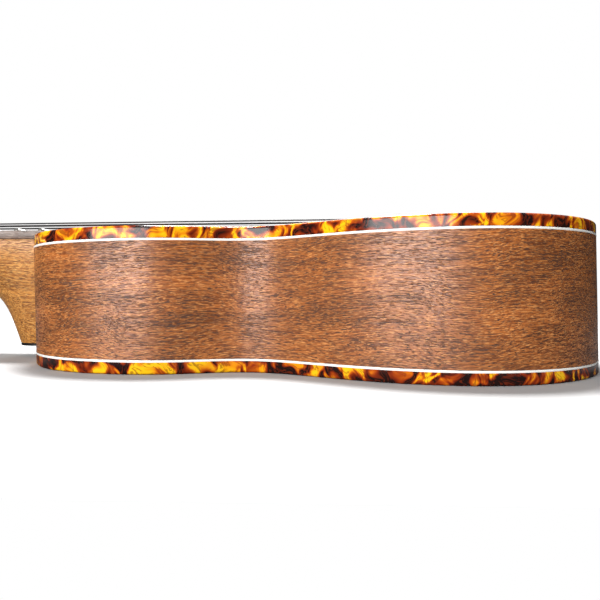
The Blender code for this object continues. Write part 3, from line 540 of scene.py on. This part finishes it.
for node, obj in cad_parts.items():
    if node.startswith("fret_"):
        finish = fret_nickel
    elif node.startswith("string_"):
        finish = nylon
    elif node.startswith("tuner_button"):
        finish = cream
    elif node.startswith("tuner_"):
        finish = chrome
    else:
        finish = {
            "neck": neck_wood,
            "fretboard": rosewood,
            "bridge": rosewood,
            "headstock_veneer": rosewood,
            "heel_cap": black_plastic,
            "nut": bone,
            "saddle": bone,
            "soundboard": plate_wood,
            "back_plate": plate_wood,
            "rosette": purfling_white,
        }.get(node, inner_wood)
    for slot in obj.material_slots:
        slot.material = finish
print(len(bpy.data.materials), "materials")

# %% [markdown]
# ## The body shell
# The outline is the same set of smooth curves as in the solid model, taken in shorter steps, because
# gloss binding shows every corner in its reflections. Each point also remembers how far it is along the
# outline, and the bent parts carry that distance to their materials.

# %% The outline, in fine steps


def curve_points(p0, p1, p2, p3, count):
    """Points and unit directions along one cubic curve, without its last point."""
    made = []
    for k in range(count):
        t = k / count
        s = 1 - t
        corners = list(zip(p0, p1, p2, p3))
        at = [s**3 * a + 3 * s * s * t * b + 3 * s * t * t * c + t**3 * d for a, b, c, d in corners]
        go = [s * s * (b - a) + 2 * s * t * (c - b) + t * t * (d - c) for a, b, c, d in corners]
        size = math.hypot(*go)
        made.append((at[0], at[1], go[0] / size, go[1] / size))
    return made


upper, waist, lower = (0.052, 0.070), (0.095, 0.057), (0.170, 0.087)
stations = curve_points((0, 0), (0, 0.044), (upper[0] - 0.0357, upper[1]), upper, 44)
stations += curve_points(upper, (upper[0] + 0.0176, upper[1]), (waist[0] - 0.0146, waist[1]), waist, 24)
stations += curve_points(waist, (waist[0] + 0.0183, waist[1]), (lower[0] - 0.0383, lower[1]), lower, 34)
stations += curve_points(lower, (lower[0] + 0.035, lower[1]), (BODY_LENGTH, 0.0505), (BODY_LENGTH, 0), 52)
stations.append((BODY_LENGTH, 0.0, 0.0, -1.0))
travelled = [0.0]
for a, b in zip(stations, stations[1:]):
    travelled.append(travelled[-1] + math.dist(a[:2], b[:2]))
print(f"{len(stations)} stations along {travelled[-1]:.3f} m of half outline")


def loop_round(inset):
    """The whole outline moved in by inset, as (x, y, distance). Distances are negative on the bass half."""
    half = [(x + inset * ty, y - inset * tx, s) for (x, y, tx, ty), s in zip(stations, travelled)]
    return half + [(x, -y, -s) for x, y, s in reversed(half[1:-1])]


def back_height(x, up=0.0):
    """Height of the back's outer face under that x, in the soundboard's plane, plus up."""
    return -(NECK_END_DEPTH + TAPER * x) + up


# %% Helpers that turn rows of points into pieces


def add_piece(name, bm, finish, plane, body=BODY, stands_for=(), smooth=40):
    """A mesh piece from a bmesh in one of the working planes. It rides on a body."""
    bmesh.ops.recalc_face_normals(bm, faces=bm.faces)
    bm.transform(plane)
    mesh = bpy.data.meshes.new(name)
    bm.to_mesh(mesh)
    bm.free()
    mesh.shade_smooth()
    if smooth:
        mesh.set_sharp_from_angle(angle=math.radians(smooth))
    mesh.materials.append(finish)
    piece = bpy.data.objects.new(name, mesh)
    bpy.context.scene.collection.objects.link(piece)
    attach(piece, body)
    if stands_for:
        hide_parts(*stands_for)
    return piece


def skin(rows, closed_along=False):
    """A bmesh through rings of (place, unrolled position), joined in order. Its ends are capped or joined."""
    bm = bmesh.new()
    layer = bm.verts.layers.float_vector.new("unrolled")
    made = []
    for row in rows:
        line = []
        for place, unrolled in row:
            vert = bm.verts.new(place)
            vert[layer] = unrolled
            line.append(vert)
        made.append(line)
    width = len(made[0])
    pairs = list(zip(made, made[1:]))
    if closed_along:
        pairs.append((made[-1], made[0]))
    for a, b in pairs:
        for i in range(width):
            j = (i + 1) % width
            bm.faces.new((a[i], a[j], b[j], b[i]))
    if not closed_along:
        bm.faces.new(made[0])
        bm.faces.new(list(reversed(made[-1])))
    return bm


# %% Top and back binding, with a rounded outer edge
BINDING_WIDTH, BINDING_HEIGHT, PURFLING_HEIGHT = 0.0015, 0.0045, 0.0007
EDGE_RADIUS = 0.0011
JOINT_GAP = 0.0001


def binding(name, level, out_sign, node):
    """A ring round the body. level(x) is its outer face, and out_sign says which way the wood lies."""
    corners = [(BINDING_WIDTH, 0.0)]
    for k in range(6):
        a = math.pi / 2 * k / 5
        corners.append((EDGE_RADIUS * (1 - math.sin(a)), EDGE_RADIUS * (1 - math.cos(a))))
    corners += [(0.0, BINDING_HEIGHT), (BINDING_WIDTH, BINDING_HEIGHT)]
    rows = []
    which_ring = 0.5 + 0.1 * out_sign  # so that the two rings don't show the same swirls
    for inset, depth in corners:
        pattern = depth if inset < BINDING_WIDTH else depth + 0.002
        row = []
        for x, y, s in loop_round(inset):
            row.append(((x, y, level(x) + out_sign * depth), (s, pattern, which_ring)))
        rows.append(row)
    ring = skin(rows, closed_along=True)
    return add_piece(name, ring, tortoise, TOP_PLANE, stands_for=[node])


binding("binding_top", lambda x: 0.0, -1, "top_binding")
binding("binding_back", lambda x: back_height(x, BACK_RELIEF), 1, "back_binding")
print("binding rings", BINDING_WIDTH, "m wide and", BINDING_HEIGHT, "m high")

# %% Purfling lines, each in six corners
PROUD = -0.00006
PURFLING_CORNERS = (
    (0, -JOINT_GAP),
    (PROUD, 0),
    (PROUD, 0.0006),
    (0, PURFLING_HEIGHT),
    (BINDING_WIDTH, PURFLING_HEIGHT),
    (BINDING_WIDTH, -JOINT_GAP),
)


def purfling(name, level, node):
    """A thin white band between the binding and the side. It stands a hair's width proud of both."""
    rows = []
    for inset, up in PURFLING_CORNERS:
        rows.append([((x, y, level(x) + up), (s, up, 0)) for x, y, s in loop_round(inset)])
    band_ring = skin(rows, closed_along=True)
    return add_piece(name, band_ring, purfling_white, TOP_PLANE, stands_for=[node])


LINE = BINDING_HEIGHT + JOINT_GAP
purfling("purfling_top", lambda x: -LINE - PURFLING_HEIGHT, "top_purfling")
purfling("purfling_back", lambda x: back_height(x, LINE), "back_purfling")
print("purfling lines start", LINE, "m in from the top and back faces")

# %% The two bent sides
SIDE_THICKNESS = 0.0018
SIDE_EDGE = LINE + PURFLING_HEIGHT + JOINT_GAP
OUTER_FACE = [(0, 0), (0, 0.25), (0, 0.5), (0, 0.75), (0, 1)]
INNER_FACE = [(SIDE_THICKNESS, 1), (SIDE_THICKNESS, 0)]
for name, hand in (("side_bass", -1), ("side_treble", 1)):
    rows = []
    for (x, y, tx, ty), s in zip(stations, travelled):
        low, high = back_height(x, SIDE_EDGE), -SIDE_EDGE
        row = []
        for inset, share in OUTER_FACE + INNER_FACE:
            z = low + (high - low) * share
            at_y = max(y - inset * tx, 0.0002)
            row.append(((x + inset * ty, hand * at_y, z), (s, z, 0.3 * hand + inset)))
        rows.append(row)
    add_piece(f"bent_{name}", skin(rows), side_wood, TOP_PLANE, stands_for=[name])

# %% [markdown]
# ## Soundboard and back
# Both plates are flat, so a ring of points inside the binding and a round soundhole are all their shape.
# The soundhole's edge is eased, and a tortoise ring between two white lines is let in around it. The
# grain runs along the strings, and the two halves of the back are mirrored about a glue line.

# %% Soundboard
SOUNDHOLE_X, SOUNDHOLE_RADIUS, PLATE_THICKNESS = 0.084, 0.026, 0.0020
inner_edge = BINDING_WIDTH + JOINT_GAP
rim_points = loop_round(inner_edge)


def hole_ring(radius, z):
    """Points round the soundhole, each in the direction of a point of the plate's rim."""
    made = []
    for x, y, _ in rim_points:
        a = math.atan2(y, x - SOUNDHOLE_X)
        made.append((SOUNDHOLE_X + radius * math.cos(a), radius * math.sin(a), z))
    return made


rows = [[((x, y, -PLATE_THICKNESS), (x, y, 0)) for x, y, _ in rim_points]]
rows.append([((x, y, 0), (x, y, 0)) for x, y, _ in rim_points])
flat_rings = [(0.0322, 0), (0.0278, 0), (0.0267, 0)]
eased_rings = [(0.0262, -0.0002), (SOUNDHOLE_RADIUS, -0.0006), (SOUNDHOLE_RADIUS, -PLATE_THICKNESS)]
for radius, z in flat_rings + eased_rings:
    rows.append([(p, p) for p in hole_ring(radius, z)])
plate = skin(rows, closed_along=True)
fine_top = add_piece(
    "soundboard_fine", plate, plate_wood, TOP_PLANE, stands_for=["soundboard"], smooth=25
)
print("soundboard faces:", len(fine_top.data.polygons))

# %% Rosette: tortoise between two white lines
RING_MIDDLE = 0.030
for name, inner, outer, finish, slot in (
    ("rosette_ring", 0.0289, 0.0311, tortoise, "tortoise"),
    ("rosette_line_inner", 0.0285, 0.0289, purfling_white, "white_plastic"),
    ("rosette_line_outer", 0.0311, 0.0315, purfling_white, "white_plastic"),
):
    rows = []
    for radius, z in ((inner, -0.0003), (inner, 0.00008), (outer, 0.00008), (outer, -0.0003)):
        ring = []
        for k in range(96):
            a = 2 * math.pi * k / 96
            place = (SOUNDHOLE_X + radius * math.cos(a), radius * math.sin(a), z)
            ring.append((place, (a * RING_MIDDLE, radius, 0.2)))
        rows.append(ring)
    stands = ["rosette"] if name == "rosette_ring" else []
    inlay = skin(rows, closed_along=True)
    add_piece(name, inlay, finish, TOP_PLANE, stands_for=stands, smooth=30)

# %% Back, in two mirrored halves
OTHER_BOARD = 0.4  # reads the grain from another place than the soundboard does
for name, hand in (("back_half_bass", -1), ("back_half_treble", 1)):
    bm = bmesh.new()
    layer = bm.verts.layers.float_vector.new("unrolled")
    half = [(x, hand * max(y, 0.00002)) for x, y, _ in loop_round(inner_edge)[: len(stations)]]
    levels = []
    for up in (0.00025, PLATE_THICKNESS):
        line = []
        for x, y in half:
            vert = bm.verts.new((x, y, back_height(x, up)))
            vert[layer] = (x + OTHER_BOARD, abs(y), 0)
            line.append(vert)
        levels.append(line)
        bm.faces.new(line)
    for a, b, c, d in zip(levels[0], levels[0][1:], levels[1][1:], levels[1]):
        bm.faces.new((a, b, c, d))
    bm.faces.new((levels[0][-1], levels[0][0], levels[1][0], levels[1][-1]))
    stands = ["back_plate"] if hand < 0 else []
    add_piece(name, bm, back_wood, TOP_PLANE, stands_for=stands, smooth=30)

# %% [markdown]
# ## Eased edges
# No real edge is sharp: bone, rosewood and plastic parts are sanded, and castings have round corners. For
# these pieces the solid's own shape is right, so each is made again with its flat faces joined up and
# every sharp edge rounded by a fraction of a millimetre.

# %% A helper that eases a solid's edges


def ease(name, node, finish, width, body=BODY, sharp=28, flat=3):
    """A solid made again with its sharp edges rounded to that width."""
    bm = bmesh.new()
    bm.from_mesh(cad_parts[node].data)
    bmesh.ops.remove_doubles(bm, verts=bm.verts, dist=0.00001)
    bmesh.ops.dissolve_limit(bm, angle_limit=math.radians(flat), verts=bm.verts, edges=bm.edges)
    edges = [e for e in bm.edges if len(e.link_faces) == 2 and e.calc_face_angle() > math.radians(sharp)]
    bmesh.ops.bevel(
        bm, geom=edges, offset=width, segments=2, profile=0.5, affect="EDGES", clamp_overlap=True
    )
    as_it_lies = Matrix.Identity(4)
    return add_piece(name, bm, finish, as_it_lies, body=body, stands_for=[node], smooth=35)


for node, finish, width, slot in (
    ("bridge", bridge_wood, 0.0006, "dark_wood"),
    ("saddle", bone, 0.0004, "bone"),
    ("nut", bone, 0.0004, "bone"),
    ("headstock_veneer", bridge_wood, 0.0003, "dark_wood"),
    ("heel_cap", black_plastic, 0.0009, "black_plastic"),
):
    eased = ease(f"{node}_eased", node, finish, width)
    print(eased.name, len(eased.data.polygons), "faces")
for string in "gcea":
    ease(f"housing_{string}", f"tuner_housing_{string}", chrome, 0.0006)

# %% [markdown]
# ## Fretboard, dots and neck
# The board's long edges are rounded so that the hand can slide along them. Round pearl dots are let in
# behind the fifth, seventh and tenth frets, where a player looks for them. The neck needs no hard lines
# except at the heel's foot, so only its sharpest edges are rounded and the rest is shaded smooth.

# %% Fretboard and neck
board = ease("fretboard_eased", "fretboard", rosewood, 0.0004)
neck = ease("neck_eased", "neck", neck_wood, 0.0005, sharp=45, flat=0.3)
print("faces:", len(board.data.polygons), "on the fretboard and", len(neck.data.polygons), "on the neck")

# %% Position dots
FRETBOARD_TOP = 0.0038


def fret_place(number):
    """How far along the neck's plane a fret lies. Twelve frets halve the scale length."""
    return NUT_X + SCALE_LENGTH * (1 - 2 ** (-number / 12))


def disc(x, z, radius):
    """A thin round inlay on the neck's middle line, with a slightly crowned face."""
    count = 28
    rows = []
    for share, lift in ((1.0, -0.0003), (1.0, 0.0), (0.92, 0.00004), (0.5, 0.00005)):
        ring = []
        for k in range(count):
            a = 2 * math.pi * k / count
            place = (x + radius * share * math.cos(a), radius * share * math.sin(a), z + lift)
            ring.append((place, (a, share, 0)))
        rows.append(ring)
    return skin(rows)


for number in (5, 7, 10):
    between = (fret_place(number) + fret_place(number - 1)) / 2
    dot = disc(between, FRETBOARD_TOP, 0.0025)
    add_piece(f"dot_{number:02d}", dot, pearl, NECK_PLANE)
    print(f"dot behind fret {number}: x {between:.4f}")

# %% [markdown]
# ## Strings at their two ends
# A string isn't just a straight line. At the headstock it winds down its post and its cut end pokes out
# of the hole; at the bridge a knot holds it behind its slot. Each winding rides on its post and turns
# with it. A tube swept along a path makes them all.

# %% A tube along a path


def tube(points, radius, sides=10, closed=False):
    """A bmesh tube of that radius along points. Each ring keeps its turn close to the one before it."""
    points = [Vector(p) for p in points]
    count = len(points)
    rows, across = [], Vector((0.3, 0.5, 0.8))
    for i, here in enumerate(points):
        after = points[(i + 1) % count] if closed or i < count - 1 else here
        before = points[i - 1] if closed or i else here
        along = (after - before).normalized()
        across = (across - along * across.dot(along)).normalized()
        other = along.cross(across)
        ring = []
        for k in range(sides):
            a = 2 * math.pi * k / sides
            ring.append((here + (across * math.cos(a) + other * math.sin(a)) * radius, (i * 0.001, a, 0)))
        rows.append(ring)
    return skin(rows, closed_along=closed)


# %% Windings, cut ends and knots
STRING_RADII = {"g": 0.00031, "c": 0.00045, "e": 0.00038, "a": 0.00030}
POST_PLACES = {"g": (-0.030, -1), "c": (-0.064, -1), "e": (-0.064, 1), "a": (-0.030, 1)}
POST_Y, POST_RADIUS, POST_WAIST, WRAP_HEIGHT, GAP = 0.015, 0.0030, 0.0024, 0.0076, 0.0003
SADDLE_X = NUT_X + SCALE_LENGTH + 0.0015
BRIDGE_REAR, STRING_END = 0.0130, 0.0014
KNOT_X = SADDLE_X + BRIDGE_REAR + STRING_END + 0.0009
KNOT_HEIGHT = 0.0029
STRING_SPREAD = 0.0400
COIL_TURNS, COIL_STEPS = 2.0, 60
COIL_PITCH = 2.15  # in string radii, so that neighbouring turns just clear each other

for index, (string, (post_x, side)) in enumerate(POST_PLACES.items()):
    r = STRING_RADII[string]
    outer, inner = POST_RADIUS + GAP + r, POST_WAIST + r + 0.00005
    top = WRAP_HEIGHT + index % 2 * 0.0004
    coil = []
    for k in range(COIL_STEPS + 1):
        turns = COIL_TURNS * k / COIL_STEPS
        a = -side * (math.pi / 2 + 2 * math.pi * turns)
        reach = outer + (inner - outer) * min(turns / 0.4, 1)
        x, y = post_x + reach * math.cos(a), side * POST_Y + reach * math.sin(a)
        coil.append((x, y, top - COIL_PITCH * r * turns))
    add_piece(f"winding_{string}", tube(coil, r), nylon, HEAD_PLANE, body=f"post_{string}")
    tail = []
    for k in range(6):
        out_by = 0.0012 + 0.0046 * k / 5
        droop = (k / 5) ** 2
        tail.append((post_x + 0.0006 * droop, side * (POST_Y + out_by), top + 0.0004 - 0.0007 * droop))
    add_piece(f"cut_end_{string}", tube(tail, r), nylon, HEAD_PLANE, body=f"post_{string}")
    y = (index - 1.5) * STRING_SPREAD / 3
    knot = []
    for k in range(48):
        a = 2 * math.pi * k / 48
        ring = 2 + math.cos(3 * a)
        across, up = ring * math.cos(2 * a) * r, ring * math.sin(2 * a) * r
        knot.append((KNOT_X + 0.0005 * math.sin(3 * a), y + across, KNOT_HEIGHT + up))
    add_piece(f"knot_{string}", tube(knot, r, closed=True), nylon, TOP_PLANE)
print("string ends:", len(POST_PLACES) * 3, "pieces")

# %% [markdown]
# ## Tuners
# The housing is a small chromed casting held by one screw, and the gear shows at its end as a round cap.
# The button is moulded cream plastic, pressed onto a chromed shaft.

# %% Buttons with chromed shafts
BUTTON_START = 0.0140
for string, (post_x, side) in POST_PLACES.items():
    body, node = f"button_{string}", f"tuner_button_{string}"
    button = ease(
        f"{body}_eased", node, cream, 0.0003, body=body, sharp=50, flat=0.5
    )
    button.data.materials.append(chrome)
    to_head = HEAD_PLANE.inverted()
    for face in button.data.polygons:
        if abs((to_head @ face.center).y) - POST_Y < BUTTON_START:
            face.material_index = 1
    shaft_faces = sum(face.material_index for face in button.data.polygons)
    print(button.name, shaft_faces, "shaft faces of", len(button.data.polygons))

# %% Mounting screws
HEAD_THICKNESS, HOUSING_HEIGHT = 0.0120, 0.0084
HOUSING_BACK = -HEAD_THICKNESS - GAP - HOUSING_HEIGHT
SCREW_HEAD = ((0.0014, -0.0002), (0.0014, 0.0002), (0.0012, 0.0006), (0.0006, 0.00085), (0.0004, 0.0006))
for string, (post_x, side) in POST_PLACES.items():
    rows = []
    x, y = post_x + 0.0042, side * (POST_Y + 0.0062)
    for radius, drop in SCREW_HEAD:
        ring = []
        for k in range(20):
            a = 2 * math.pi * k / 20
            place = (x + radius * math.cos(a), y + radius * math.sin(a), HOUSING_BACK - drop)
            ring.append((place, (a, radius, 0)))
        rows.append(ring)
    add_piece(f"housing_screw_{string}", skin(rows), chrome, HEAD_PLANE)
print("screws on the housings' backs, at z", HOUSING_BACK)

# %% Last line
print("pieces and finishes in place")
